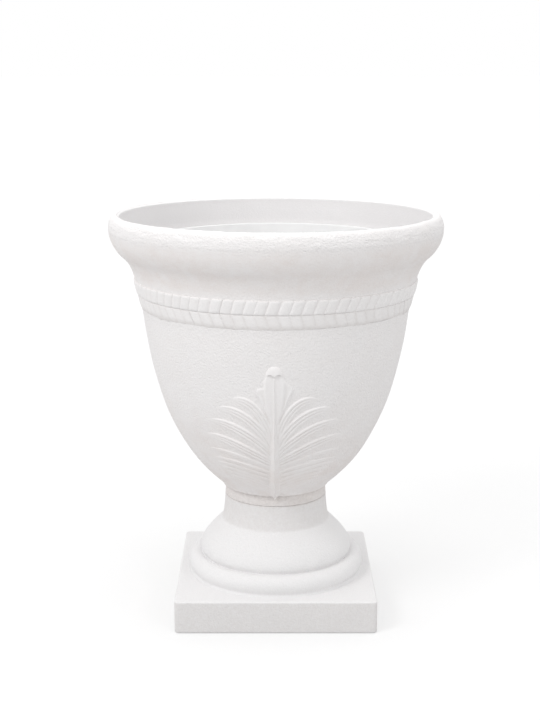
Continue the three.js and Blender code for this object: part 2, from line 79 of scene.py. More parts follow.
def rounded(corners, count=5, closed=True):
    # Straight runs between corners of (radius, height, fillet). A fillet is the quadratic curve
    # that starts and ends that far from its corner, with one more point just outside each end.
    p = np.array([c[:2] for c in corners], float)
    cut = np.array([c[2] for c in corners], float)[:, None]
    ahead, behind = np.roll(p, -1, axis=0) - p, np.roll(p, 1, axis=0) - p
    ahead /= np.linalg.norm(ahead, axis=1)[:, None]
    behind /= np.linalg.norm(behind, axis=1)[:, None]
    if not closed:
        cut[0] = cut[-1] = 0
    a, b = (p + behind * cut)[:, None], (p + ahead * cut)[:, None]
    t = np.linspace(0, 1, count)[None, :, None]
    curve = (1 - t) ** 2 * a + 2 * (1 - t) * t * p[:, None] + t ** 2 * b
    margin = 1.4
    outer = [(p + behind * cut * margin)[:, None], curve, (p + ahead * cut * margin)[:, None]]
    return path(np.concatenate(outer, axis=1).reshape(-1, 2))


def inset(line, thickness):
    # The same line moved to its left by a wall's thickness.
    along = np.gradient(line, axis=0)
    along /= np.linalg.norm(along, axis=1)[:, None]
    return line + thickness * np.stack([-along[:, 1], along[:, 0]], axis=1)


def smoothStep(low, high, x):
    # Eases from 0 at low to 1 at high, also where low is the larger of the two.
    t = np.clip((x - low) / (high - low), 0, 1)
    return t * t * (3 - 2 * t)


# Surfaces are grids of points, shaped (rows, columns, 3).

def revolved(radius, height, turn):
    # Points by radius, height and angle. Angle 0 faces -Y, and it grows towards +X.
    return np.stack([radius * np.sin(turn), -radius * np.cos(turn), height + 0 * turn], axis=-1)


def lathe(line, columns):
    # The line turned round the Z axis in even steps.
    turn = np.linspace(0, 2 * np.pi, columns, endpoint=False)
    return revolved(line[:, :1] + 0 * turn, line[:, 1:] + 0 * turn, turn)


def shell(grid, closedRows=True):
    # Vertices and faces of a grid whose columns go all the way round. Where the rows don't close
    # on themselves, the first and the last ring are closed by one flat face each.
    rows, columns = grid.shape[:2]
    i = np.arange(rows if closedRows else rows - 1)[:, None]
    k = np.arange(columns)[None, :]
    up, across = (i + 1) % rows, (k + 1) % columns
    corners = [i * columns + k, i * columns + across, up * columns + across, up * columns + k]
    blocks = [np.stack(corners, axis=-1).reshape(-1, 4)]
    if not closedRows:
        blocks += [k[:, ::-1], (rows - 1) * columns + k]
    return grid.reshape(-1, 3), blocks


def signedVolume(points, blocks):
    # Six times the volume inside the faces, and negative where they point inwards.
    total = 0
    for faces in blocks:
        for k in range(1, faces.shape[1] - 1):
            a, b, c = points[faces[:, 0]], points[faces[:, k]], points[faces[:, k + 1]]
            total += np.sum(a * np.cross(b, c))
    return total


def placed(name, data):
    # A new object in the scene.
    thing = bpy.data.objects.new(name, data)
    bpy.context.scene.collection.objects.link(thing)
    return thing


def evenly(value, shells):
    # The same mark at every vertex of some shells.
    return [np.full(len(points), float(value)) for points, _ in shells]


def addPiece(name, shells, material, body="urn", replaced=(), marks=None):
    # One object from closed shells in millimetres. A shell that comes out inside out is turned.
    # marks holds, by name, one number per vertex for the material, in the order of the shells.
    points, faces, start = [], [], 0
    for shellPoints, blocks in shells:
        turned = signedVolume(shellPoints, blocks) < 0
        for block in blocks:
            faces.extend(((block[:, ::-1] if turned else block) + start).tolist())
        points.append(shellPoints)
        start += len(shellPoints)
    mesh = bpy.data.meshes.new(name)
    mesh.from_pydata((np.vstack(points) * mm).tolist(), [], faces)
    mesh.polygons.foreach_set("use_smooth", np.ones(len(faces), bool))
    for label, values in (marks or {}).items():
        layer = mesh.attributes.new(label, "FLOAT", "POINT")
        layer.data.foreach_set("value", np.concatenate(values).astype(np.float32))
    mesh.materials.append(material)
    mesh.update()
    piece = placed(name, mesh)
    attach(piece, body)
    if replaced:
        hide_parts(*replaced)
    print(name, "made,", len(faces), "faces")


def waves(turn, height, seed, reach, count=24):
    # A smooth wandering value between about -1 and 1: a sum of sines that each repeat round the
    # piece, with seeded phases. reach is the size in millimetres of the smallest swing.
    girth = 2 * np.pi * 150
    draw = np.random.default_rng(seed)
    total = np.zeros(np.broadcast(turn, height).shape)
    most = int(girth / reach)
    for _ in range(count):
        around = draw.integers(-most, most + 1)
        up = draw.uniform(-1, 1) * 2 * np.pi / reach
        total += np.sin(around * turn + up * height + draw.uniform(0, 2 * np.pi))
    return total / np.sqrt(count)


def newMaterial(name):
    # A new material, with its node tree and its shader.
    material = bpy.data.materials.new(name)
    material.use_nodes = True
    return material, material.node_tree, material.node_tree.nodes["Principled BSDF"]


def objectSpace(tree, scale=(1, 1, 1)):
    # Object coordinates, stretched by a Mapping node.
    place = tree.nodes.new("ShaderNodeTexCoord")
    mapping = tree.nodes.new("ShaderNodeMapping")
    mapping.inputs["Scale"].default_value = scale
    tree.links.new(place.outputs["Object"], mapping.inputs["Vector"])
    return mapping.outputs["Vector"]


def upward(tree, coordinates):
    # Z of the Object or Generated coordinates.
    place = tree.nodes.new("ShaderNodeTexCoord")
    split = tree.nodes.new("ShaderNodeSeparateXYZ")
    tree.links.new(place.outputs[coordinates], split.inputs["Vector"])
    return split.outputs["Z"]


def vertexMark(tree, name):
    # The number that a piece's mesh carries under this name, and 0 where it has none.
    node = tree.nodes.new("ShaderNodeAttribute")
    node.attribute_name = name
    return node.outputs["Fac"]


def noise(tree, vector, grain, detail=3, roughness=0.5, distortion=0):
    # Noise whose largest spots are about `grain` millimetres across.
    node = tree.nodes.new("ShaderNodeTexNoise")
    node.inputs["Scale"].default_value = 1 / (grain * mm)
    node.inputs["Detail"].default_value = detail
    node.inputs["Roughness"].default_value = roughness
    node.inputs["Distortion"].default_value = distortion
    tree.links.new(vector, node.inputs["Vector"])
    return node.outputs["Fac"]


def ramp(tree, value, fromLow, fromHigh, toLow, toHigh, smooth=False):
    # Carries one range over to another, and holds the ends beyond them.
    node = tree.nodes.new("ShaderNodeMapRange")
    node.interpolation_type = "SMOOTHSTEP" if smooth else "LINEAR"
    settings = {"From Min": fromLow, "From Max": fromHigh, "To Min": toLow, "To Max": toHigh}
    for socket, setting in settings.items():
        node.inputs[socket].default_value = setting
    tree.links.new(value, node.inputs["Value"])
    return node.outputs["Result"]


def combine(tree, operation, a, b):
    # Math of two values, each a number or a socket.
    node = tree.nodes.new("ShaderNodeMath")
    node.operation = operation
    for socket, value in zip(node.inputs, (a, b)):
        if isinstance(value, (int, float)):
            socket.default_value = value
        else:
            tree.links.new(value, socket)
    return node.outputs["Value"]


def tint(tree, amount, a, b):
    # Colour a where amount is 0, and colour b where it is 1.
    node = tree.nodes.new("ShaderNodeMix")
    node.data_type = "RGBA"
    tree.links.new(amount, node.inputs["Factor"])
    for socket, value in ((node.inputs["A"], a), (node.inputs["B"], b)):
        if isinstance(value, tuple):
            socket.default_value = (*value, 1)
        else:
            tree.links.new(value, socket)
    return node.outputs["Result"]


def bump(tree, shader, height, depth):
    # Bump of a 0-to-1 height, `depth` millimetres deep.
    node = tree.nodes.new("ShaderNodeBump")
    node.inputs["Strength"].default_value = 1
    node.inputs["Distance"].default_value = depth * mm
    tree.links.new(height, node.inputs["Height"])
    tree.links.new(node.outputs["Normal"], shader.inputs["Normal"])


stone = dict(
    body=(0.905, 0.889, 0.890),     # the resin itself
    stainAndShade=(0.85, 0.80, 0.78),       # warm grey stain, which in the cove and on the lower bowl is also painted shade
    ash=(0.82, 0.812, 0.815),       # the pedestal: greyer than the body, and darker partly as painted shade under the bowl
    chalkAndHighlight=(0.96, 0.955, 0.957),     # rubbed edges and crests, which also carry a painted highlight, and flecks of dust
    dirtAndShade=(0.62, 0.577, 0.552),      # dirt in the grooves, and painted shade there, on the collar, the plinth's sides and foot and the neck
    rubAndHighlight=0.3, settleAndShade=0.6, dust=0.35,     # most chalk and painted highlight on a crest, dirt and painted shade in a groove, chalk in a fleck
    roughness=(0.72, 0.92),
    # Heights from which and to which each zone sets in.
    coveFoot=(398, 412), coveTop=(462, 442), lowBowl=(300, 170), bowlFoot=(134, 136),
    ashTop=(135.2, 135.0), lipFoot=(451, 458),
    zoneStainAndShade=0.85, plainStain=0.27,    # stain and painted shade that a zone adds, and stain everywhere
    # The middle range of a noise, and the factors at its two ends.
    middling=(0.35, 0.65),
    cloudStainAndShade=(0.4, 1.0), patchStainAndShade=(0.75, 1.1), spotDirtAndShade=(0.6, 1.3), fleckDirtAndShade=(0.7, 1.25),
    fleckDust=(0.3, 0.75),
    cloud=42, patch=10.5, spot=4.2, fleck=1.44,     # sizes of the mottling, large to small
    peel=2.3, peelDepth=1.05,       # orange-peel grain of the wall: across a swell, and its depth
    peelWorn=0.12, peelCove=0.55,   # shares of that depth where worn smooth, and from the cove up
    grit=0.9, gritDepth=0.16,       # finest grain
    ripple=2.9, rippleDepth=1.3, rippleFlatness=1.5,    # rough, level ripples of the lip
)


def stoneResin():
    # Stain and painted shade go by height, and dirt, chalk, painted shade and painted highlights by the
    # marks in the mesh, each broken up by noise.
    # The bump is the sum of the wall's orange peel, the grit and the lip's ripples.
    s = stone
    material, tree, shader = newMaterial("stone_resin")
    space = objectSpace(tree)
    flat = objectSpace(tree, (1, 1, s["rippleFlatness"]))
    height = upward(tree, "Object")
    paintedLightAndWear = vertexMark(tree, "paintedLightAndWear")      # above 0 rubbed with a painted highlight, below 0 dirt with painted shade: 1 on a crest, -1 in a groove, 0 on plain ground
    worn = vertexMark(tree, "smooth")      # 1 where the grain of the wall is rubbed away
    clean = vertexMark(tree, "clean")      # 1 where neither stain nor the painted shade of the zones is laid on

    def times(a, b):
        return combine(tree, "MULTIPLY", a, b)

    def mapped(value, limits, results):
        return ramp(tree, value, *limits, *results)

    def byHeight(limits, smooth=True):
        return ramp(tree, height, limits[0] * mm, limits[1] * mm, 0, 1, smooth)

    cloud = noise(tree, space, s["cloud"], 4, 0.62, 0.4)
    patch = noise(tree, space, s["patch"], 3, 0.6)
    spot = noise(tree, space, s["spot"], 3, 0.6)
    fleck = noise(tree, space, s["fleck"], 2, 0.6)

    # The cove under the lip and the lower bowl get a warm stain that is partly painted shade.
    cove = byHeight(s["coveFoot"])
    lowBowl = times(byHeight(s["lowBowl"]), byHeight(s["bowlFoot"], False))
    zone = combine(tree, "MAXIMUM", times(cove, byHeight(s["coveTop"])), lowBowl)
    zone = combine(tree, "ADD", times(zone, s["zoneStainAndShade"]), s["plainStain"])
    zone = times(zone, mapped(clean, (0, 1), (1, 0)))
    stainedAndShaded = times(zone, mapped(cloud, s["middling"], s["cloudStainAndShade"]))
    stainedAndShaded = times(stainedAndShaded, mapped(patch, s["middling"], s["patchStainAndShade"]))
    # Dirt and painted shade where the mark is below 0.
    settledAndShaded = mapped(paintedLightAndWear, (0, -1), (0, s["settleAndShade"]))
    settledAndShaded = times(settledAndShaded, mapped(spot, s["middling"], s["spotDirtAndShade"]))
    settledAndShaded = times(settledAndShaded, mapped(fleck, s["middling"], s["fleckDirtAndShade"]))
    # The pedestal's greyer tone, darker partly as painted shade under the bowl.
    colour = tint(tree, byHeight(s["ashTop"], False), s["body"], s["ash"])
    colour = tint(tree, stainedAndShaded, colour, s["stainAndShade"])
    # Chalk and a painted highlight where the mark is above 0, and chalk flecks of dust.
    colour = tint(tree, mapped(paintedLightAndWear, (0, 1), (0, s["rubAndHighlight"])), colour, s["chalkAndHighlight"])
    colour = tint(tree, settledAndShaded, colour, s["dirtAndShade"])
    colour = tint(tree, mapped(fleck, s["fleckDust"], (0, s["dust"])), colour, s["chalkAndHighlight"])
    tree.links.new(colour, shader.inputs["Base Color"])
    tree.links.new(mapped(patch, (0.3, 0.7), s["roughness"]), shader.inputs["Roughness"])

    peelDepth = mapped(worn, (0, 1), (s["peelDepth"], s["peelWorn"] * s["peelDepth"]))
    peelDepth = times(peelDepth, mapped(cove, (0, 1), (1, s["peelCove"])))
    lip = times(byHeight(s["lipFoot"], False), mapped(worn, (0, 1), (1, 0)))
    peel = times(noise(tree, space, s["peel"], 2), peelDepth)
    grit = times(noise(tree, space, s["grit"], 2), s["gritDepth"])
    ripple = times(noise(tree, flat, s["ripple"], 3, 0.55), s["rippleDepth"])
    total = combine(tree, "ADD", combine(tree, "ADD", peel, grit), times(ripple, lip))
    bump(tree, shader, total, 1)
    return material


linerPlastic = dict(colour=(0.87, 0.868, 0.868), roughness=0.42, grain=1.5, depth=0.04)
plugRubber = dict(colour=(0.045, 0.045, 0.047), roughness=0.7, grain=0.8, depth=0.06)
screwSteel = dict(dark=(0.52, 0.53, 0.54), light=(0.68, 0.68, 0.69), roughness=(0.25, 0.45),
                  streak=1.2, flatness=12, grain=0.4, depth=0.02)


def plainPlastic(name, colour, roughness, grain, depth):
    # Slow clouds of a slightly darker colour and rougher surface.
    material, tree, shader = newMaterial(name)
    space = objectSpace(tree)
    cloud = noise(tree, space, 30, 3, 0.6)
    darker = tuple(0.93 * c for c in colour)
    clouded = tint(tree, ramp(tree, cloud, 0.3, 0.7, 0, 1), colour, darker)
    tree.links.new(clouded, shader.inputs["Base Color"])
    rougher = ramp(tree, cloud, 0.3, 0.7, roughness, roughness + 0.1)
    tree.links.new(rougher, shader.inputs["Roughness"])
    bump(tree, shader, noise(tree, space, grain, 2), depth)
    return material


def brushedSteel():
    # Thin level streaks, the lighter ones rougher.
    s = screwSteel
    material, tree, shader = newMaterial("screw_steel")
    flat = objectSpace(tree, (1, 1, s["flatness"]))
    streaks = noise(tree, flat, s["streak"], 3, 0.6)
    tree.links.new(tint(tree, streaks, s["dark"], s["light"]), shader.inputs["Base Color"])
    shader.inputs["Metallic"].default_value = 1
    tree.links.new(ramp(tree, streaks, 0.3, 0.7, *s["roughness"]), shader.inputs["Roughness"])
    grain = noise(tree, objectSpace(tree), s["grain"], 2)
    bump(tree, shader, grain, s["depth"])
    return material


stoneMaterial = stoneResin()
linerMaterial = plainPlastic("liner_plastic", **linerPlastic)
rubberMaterial = plainPlastic("plug_rubber", **plugRubber)
steelMaterial = brushedSteel()
print("materials made")


bowl = dict(
    wall=4, wallFoot=149.8,
    floorFoot=125.3, floorTop=130.3, floorCorner=1.5,
    spigotRadius=56.9, spigotEdge=1, drainRadius=10, drainEdge=0.6,
    # Radius, height and fillet, from the spigot over the collar to the wall's turned-out foot.
    collar=((56.9, 135.3, 0), (61, 135.3, 0.7), (60.8, 140.3, 1.5), (59.2, 147.2, 1.0),
            (63.9, 149.0, 0.6)),
    wallCurve=((62.4, 149.8, 38, 0.35), (156.6, 361, 83, 0.355)),
    coveCurve=((165.6, 401.5, 77, 0.37), (180, 428, 40, 0.29)),
    lipCurve=((180, 428, 40, 0.28), (195, 459, 90, 0.36)),
    lipTop=((187, 459), (8, 16)),
    rimTop=((187, 472.5), (5, 2.5)),
    rimInnerRadius=183.6,
    # Depths of the unevenness, each with the size of its smallest swing.
    swell=0.22, swellReach=60, swellFrom=(152, 175),
    lipRipple=0.16, lipRippleReach=16,
    nick=0.3, nickReach=9, nickFoot=(140, 146), nickTop=(152, 149),
    partingLine=455, partingDepth=0.28, partingWidth=0.55,
    # Painted highlight on the wall's lower edge, and painted shade over the collar below it, most in its
    # recess and at its foot.
    edgeHighlightHeight=150.6, collarShadeTop=(149.6, 148.6), recess=(142, 147), collarFoot=(136.2, 135.6),
    insideSmooth=0.85, columns=400,
)


def wallLine(count):
    # The flaring wall alone.
    return bezier(*bowl["wallCurve"], count)


def outerLine(wallCount, seatCount, coveCount, lipCount):
    # The outside of the bowl from the wall's foot up to the widest circle.
    wallPart = wallLine(wallCount)
    seat = straight(wallPart[-1], bowl["coveCurve"][0], seatCount)
    return path(wallPart, seat, bezier(*bowl["coveCurve"], coveCount), bezier(*bowl["lipCurve"], lipCount))


def wallSwell(turn, height):
    # Slow unevenness of the moulded wall, in millimetres.
    slow = waves(turn, height, seed=3, reach=bowl["swellReach"])
    return bowl["swell"] * slow * smoothStep(*bowl["swellFrom"], height)


def addBowl():
    # One line turned round the axis: over the collar, up the outside, over the lip and down the
    # inside. The outside is then moved along its normals by the unevenness.
    b = bowl
    outside = outerLine(62, 4, 22, 30)
    outside = outside[outside[:, 1] > b["wallFoot"] + 1.2]
    collar = rounded([*b["collar"], (*outside[0], 0)], 6, closed=False)
    lipTop = arc(*b["lipTop"], 0, 90, 20)
    rimTop = arc(*b["rimTop"], 90, 180, 8)
    inside = inset(outerLine(34, 3, 8, 10), b["wall"])
    inside = inside[inside[:, 0] < b["rimInnerRadius"] - 1]
    rimFoot = inside[-1, 1] + b["wall"]
    rimWall = straight((rimTop[-1, 0] + 0.3, rimTop[-1, 1] - 1.5), (b["rimInnerRadius"], rimFoot), 5)
    inner = path(rimWall, inside[::-1])
    top, foot, corner, edge = b["floorTop"], b["floorFoot"], b["floorCorner"], b["drainEdge"]
    spigot, drain, hollow = b["spigotRadius"], b["drainRadius"], b["spigotRadius"] - b["wall"]
    floor = [
        (hollow, inner[-1, 1] - 1), (hollow, top + corner), (hollow - corner, top),
        (drain + edge, top), (drain, top - edge), (drain, foot + edge), (drain + edge, foot),
        (spigot - b["spigotEdge"], foot), (spigot, foot + b["spigotEdge"])]
    line = path(collar, outside, lipTop, rimTop, inner, floor)
    turn = np.linspace(0, 2 * np.pi, b["columns"], endpoint=False)
    r, z = line[:, :1] + 0 * turn, line[:, 1:] + 0 * turn
    outer = (np.arange(len(line)) < len(collar) + len(outside) + len(lipTop))[:, None]
    # The wall's unevenness, the lip's ripples, and the parting line of the mould, which is deepest
    # on the left.
    above = smoothStep(b["partingLine"] + 1, b["partingLine"] + 6, z)
    ripples = waves(turn, 3 * z, seed=5, reach=b["lipRippleReach"])
    swell = wallSwell(turn, z) + b["lipRipple"] * ripples * above
    wander = waves(turn, 0 * z, seed=8, reach=300, count=6)
    strength = 0.35 + 0.65 * np.clip(0.5 + wander - 1.2 * np.sin(turn) ** 3, 0, 1)
    parting = np.exp(-((z - b["partingLine"]) / b["partingWidth"]) ** 2)
    swell = swell - b["partingDepth"] * strength * parting
    # Drips and nicks along the wall's lower edge, deepest to the left of the front.
    nicks = smoothStep(*b["nickFoot"], z) * smoothStep(*b["nickTop"], z)
    nicks = nicks * (0.25 + smoothStep(0.1, -0.4, np.sin(turn)) * (np.cos(turn) > 0))
    swell = swell + b["nick"] * waves(turn, 0.2 * z, seed=17, reach=b["nickReach"]) * nicks
    swell = swell * outer
    normal = np.gradient(np.stack([r, z], axis=-1), axis=0)
    normal /= np.linalg.norm(normal, axis=-1, keepdims=True) + 1e-9
    grid = revolved(r + swell * normal[..., 1], z - swell * normal[..., 0], turn)
    # Painted shade on the collar, most in its recess and at its foot, and a painted highlight on the
    # wall's edge above it.
    collarShade = 0.7 + 0.3 * smoothStep(*b["recess"], z) + 0.3 * smoothStep(*b["collarFoot"], z)
    edgeHighlight = np.exp(-((z - b["edgeHighlightHeight"]) / 0.8) ** 2)
    paintedLightAndWear = (0.4 * edgeHighlight - collarShade * smoothStep(*b["collarShadeTop"], z)) * outer
    smooth = np.where(outer, 0, b["insideSmooth"]) + 0 * turn
    clean = np.where(outer, 0, 1) + 0 * turn
    addPiece("bowl_shell", [shell(grid)], stoneMaterial, replaced=["bowl", "bowl_rim"],
             marks=dict(paintedLightAndWear=[paintedLightAndWear.ravel()], smooth=[smooth.ravel()], clean=[clean.ravel()]))


rope = dict(
    strands=80, foot=367, rowHeight=16.5,
    lean=0.45,                      # run of a strand over its row, in strands
    # A strand's height and its groove's depth, how much higher one side is, and the share of the
    # row over which the lower end rises.
    upper=dict(rise=2.1, groove=1.4, tilt=-0.5, fade=0.02),
    lower=dict(rise=1.2, groove=0.6, tilt=-0.1, fade=0.35),
    endLift=0.18, footLift=0.35,    # shares of the height that are left at the ends
    unlike=0.10, slip=0.035,        # how much strands differ in height, and in place
    edgeWander=((0.5, 21, 14), (0.6, 22, 70)),      # depth, seed and smallest swing
    depth=1.6, beyond=0.8,          # of the back, under the seat and past the band's edges
    across=(-0.5, -0.465, -0.43, -0.38, -0.3, -0.18, -0.04, 0.1, 0.24, 0.35, 0.42, 0.465),
    rows=15, smooth=0.6,
)


def addRopeBand():
    # Two rows of pillow-shaped strands on the sloping seat. The columns follow the strands' lean,
    # a strand's height falls with the fourth power towards its grooves, and its ends round off.
    r = rope
    phase = np.tile(np.array(r["across"]), r["strands"])
    number = np.repeat(np.arange(r["strands"]), len(r["across"]))
    draw = np.random.default_rng(11)
    size = 1 + r["unlike"] * draw.standard_normal(r["strands"])[number]
    slip = r["slip"] * draw.standard_normal(r["strands"])[number]
    share = 0.5 - 0.5 * np.cos(np.pi * np.linspace(0, 1, r["rows"])[:, None])
    seat = np.array([bowl["wallCurve"][1][:2], bowl["coveCurve"][0][:2]])

    def seatAt(height):
        return np.interp(height, seat[:, 1], seat[:, 0])

    def row(foot, start, run, rise, groove, tilt, fade):
        z = foot + r["rowHeight"] * share + 0 * phase
        ends = np.clip(1 - np.abs(2 * share - 1) ** 7, 0, 1) ** 0.5
        lift = rise - groove * np.abs(2 * phase) ** 4 + tilt * phase
        lift = lift * (r["endLift"] + (1 - r["endLift"]) * ends * size)
        lift = lift * (r["footLift"] + (1 - r["footLift"]) * smoothStep(-0.02, fade, share))
        turn = 2 * np.pi * (number + phase + slip + start + run * share) / r["strands"]
        return z, lift, turn

    lower = row(r["foot"], 0, -r["lean"], **r["lower"])
    upper = row(r["foot"] + r["rowHeight"], -r["lean"], r["lean"], **r["upper"])
    z, lift, turn = [np.vstack([a, b[1:]]) for a, b in zip(lower, upper)]
    for depth, seed, reach in r["edgeWander"]:
        z[0] += depth * waves(turn[0], 0 * turn[0], seed, reach)
    outside = revolved(seatAt(z) + lift, z, turn)
    back = []
    for edge, beyond in ((-1, r["beyond"]), (0, -r["beyond"])):
        height = z[edge] + beyond
        back.append(revolved(seatAt(height) - r["depth"], height, turn[edge]))
    grid = np.concatenate([outside, np.stack(back)])
    # Dirt and painted shade where the band is less than about half its height, and chalk with a painted
    # highlight on the crests.
    paintedLightAndWear = np.clip(1.7 * lift / r["upper"]["rise"] - 1.0, -0.75, 0.5)
    paintedLightAndWear = np.vstack([paintedLightAndWear, 0 * paintedLightAndWear[:2]])
    addPiece("rope_band", [shell(grid)], stoneMaterial,
             marks=dict(paintedLightAndWear=[paintedLightAndWear.ravel()], smooth=[np.full(paintedLightAndWear.size, r["smooth"])]))


leaf = dict(
    lean=-0.8,                      # degrees that the leaf's middle line stands left of the front
    half=43, foot=150, top=329,     # reach of the relief's grid: degrees, and heights
    columns=300, rows=290,
    ground=-0.7, root=1.9,          # the relief's lowest level and its back, under the wall
    margin=3, hangOut=1.0, smooth=1.0,
    # Fronds: large ones above and small ones below, with their tips on an oval.
    pairs=12, mains=4, mainStep=0.125, smallFrom=0.49, smallWidth=0.5,
    reach=40, ovalMiddle=207, ovalAbove=91, ovalBelow=48, topAngle=61, footAngle=-50,
    rootTop=246, rootFoot=155, crowding=1.12, rootTurn=1.2, droop=1.2,
    steepness=1.45, steepnessLoss=0.15,
    width=20, rise=2.0, lowRise=1.8, lowRiseLoss=0.05,
    knots=(-0.07, 0.10, 0.21, 0.32, 0.43, 0.54, 0.66, 1.0),
    levels=(-0.5, 1.0, 0.12, 0.96, 0.02, 0.78, 0.1, -0.35),
    lobe=dict(foot=256, tip=299, rootTurn=1.6, turn=8.2, rise=2.1, topSlopes=(0.5, 2.8),
              inward=(-0.4, 0.6, 1.5, 3.2, 4.8, 12), levels=(-0.5, 0.85, 0.8, 0.45, 0.38, 0.38)),
    blade=dict(foot=236, top=317, rise=2.3, half=3.4, widening=8.8, closing=2.4,
               vein=0.16, veinWidth=0.8,
               across=(0, 0.45, 0.8, 0.9, 1.0), levels=(0.55, 0.55, 0.68, 0.75, -0.2)),
    tip=dict(half=9.6, fold=314.4, height=11.2, scallop=2.4, rise=3.1, back=-1.5),
    rib=dict(foot=144.8, top=312, half=6.7, rise=4.3, loss=2.3, back=-1.5),
)


def wallAt(height):
    # Radius of the wall, and how much it widens for each millimetre of height.
    line = wallLine(400)
    slope = np.interp(height, line[:, 1], np.gradient(line[:, 0], line[:, 1]))
    return np.interp(height, line[:, 1], line[:, 0]), slope


def onWall(turn, height, lift):
    # Points on the outside of the bowl: degrees from the front, height, and lift along the normal.
    # What hangs below the wall's foot goes straight down, a little further out.
    radius, slope = wallAt(height)
    hanging = height < bowl["wallFoot"]
    radius = np.where(hanging, radius + leaf["hangOut"], radius)
    slope = np.where(hanging, 0, slope)
    size = np.hypot(1, slope)
    out, up = radius + lift / size, height - lift * slope / size
    return revolved(out, up, np.radians(turn))


def ridged(share, knots, levels):
    # A section that eases between its knots.
    place = np.clip(np.searchsorted(knots, share) - 1, 0, len(knots) - 2)
    t = (share - np.take(knots, place)) / (np.take(knots, place + 1) - np.take(knots, place))
    t = smoothStep(0, 1, t)
    return np.take(levels, place) * (1 - t) + np.take(levels, place + 1) * t


def frondLift(i, turn, height):
    # Frond i on both sides. Its upper edge is a line that climbs steeply from the midrib and levels
    # out towards the tip. Below that line run three ridges with grooves between them, and then it
    # falls to the wall. turn is the distance from the midrib in degrees.
    f = leaf
    small = i - f["mains"]
    if small < 0:
        share, narrow, rise = i * f["mainStep"], 1, f["rise"]
    else:
        share = f["smallFrom"] + (1 - f["smallFrom"]) * small / (f["pairs"] - 1 - f["mains"])
        narrow, rise = f["smallWidth"], f["lowRise"] * (1 - f["lowRiseLoss"] * small)
    angle = np.radians(f["topAngle"] + (f["footAngle"] - f["topAngle"]) * share)
    tipTurn = f["reach"] * np.cos(angle)
    tipHeight = f["ovalMiddle"] + np.sin(angle) * (f["ovalAbove"] if angle > 0 else f["ovalBelow"])
    root = f["rootFoot"] + (f["rootTop"] - f["rootFoot"]) * (1 - share) ** f["crowding"]
    bend = f["droop"] * np.pi / 2
    steep = max(1.0, f["steepness"] - f["steepnessLoss"] * i)
    span = tipTurn - f["rootTurn"]
    t = np.clip((turn - f["rootTurn"]) / span, 0, 1) ** (1 / steep)
    line = root + (tipHeight - root) * np.sin(bend * t) / np.sin(bend)
    radius, slope = wallAt(height)
    along = np.hypot(1, slope)
    climb = (tipHeight - root) * bend * np.cos(bend * t) / np.sin(bend)
    climb = climb / (np.radians(span) * steep * np.maximum(t, 0.05) ** (steep - 1) * radius)
    below = (line - height) * along / np.hypot(1, climb * along)
    width = f["width"] * narrow * (0.42 + 0.58 * np.sin(np.pi * (0.1 + 0.75 * t))) * np.sqrt(1 - t ** 6)
    across = below / np.maximum(width, 0.3)
    section = ridged(across, f["knots"], f["levels"])
    rise = rise * (0.4 + 0.6 * np.sin(np.pi * np.clip(0.15 + 0.72 * t, 0, 1))) * (1 - t ** 9)
    inside = (turn > f["rootTurn"]) & (turn < tipTurn) & (across > f["knots"][0]) & (across < 1)
    return np.where(inside, section * rise, f["ground"])


def lobeLift(turn, height):
    # The two side lobes: a sharp outer edge that peels outwards to a point, and a groove inside it.
    # The section goes by the distance inwards from that edge, and ends under a sloping top.
    lobe = leaf["lobe"]
    side = np.abs(turn)
    t = np.clip((height - lobe["foot"]) / (lobe["tip"] - lobe["foot"]), 0, 1.2)
    edge = lobe["rootTurn"] + (lobe["turn"] - lobe["rootTurn"]) * t ** 0.95
    inward = np.radians(edge - side) * wallAt(height)[0]
    section = np.interp(inward, lobe["inward"], lobe["levels"])
    topSlope = np.where(turn < 0, *lobe["topSlopes"])
    top = lobe["tip"] + 0.3 + topSlope * (lobe["turn"] - side) - 2.6 * smoothStep(2.4, 0, inward)
    under = top - height
    section = section * (0.35 + 0.65 * t ** 0.7) * smoothStep(0, 1.2, under) - smoothStep(0.2, -0.4, under)
    return np.where((t > 0) & (inward > -0.5), section * lobe["rise"], leaf["ground"])


def bladeLift(turn, height):
    # The middle blade, which widens upwards and closes a little at its top. It has turned-up edges
    # and a fine vein. The section goes by the share of its half width.
    blade = leaf["blade"]
    t = np.clip((height - blade["foot"]) / (blade["top"] - blade["foot"]), 0, 1)
    half = blade["half"] + blade["widening"] * smoothStep(0.05, 0.8, t)
    half = half - blade["closing"] * smoothStep(0.85, 1, t)
    across = np.radians(np.abs(turn)) * wallAt(height)[0] / half
    section = np.interp(across, blade["across"], blade["levels"])
    section = section + blade["vein"] * np.exp(-(across * half / blade["veinWidth"]) ** 2)
    section = section * (1 + 0.2 * t - 0.5 * smoothStep(0.85, 1, t))
    inside = (height > blade["foot"]) & (height < blade["top"]) & (across < 1)
    return np.where(inside, section * blade["rise"], leaf["ground"])


def leafLift(turn, height):
    # Height of the whole relief over the wall, apart from the midrib and the curled tip: the
    # highest of the fronds, the lobes, the blade and the ground.
    lift = np.maximum(lobeLift(turn, height), bladeLift(turn, height))
    for i in range(leaf["pairs"]):
        lift = np.maximum(lift, frondLift(i, np.abs(turn), height))
    return np.maximum(lift, leaf["ground"])


def blurred(field, times):
    # The mean of each value and its neighbours, again and again.
    for _ in range(times):
        field = (field + np.roll(field, 1, 0) + np.roll(field, -1, 0)) / 3
        field = (field + np.roll(field, 1, 1) + np.roll(field, -1, 1)) / 3
    return field


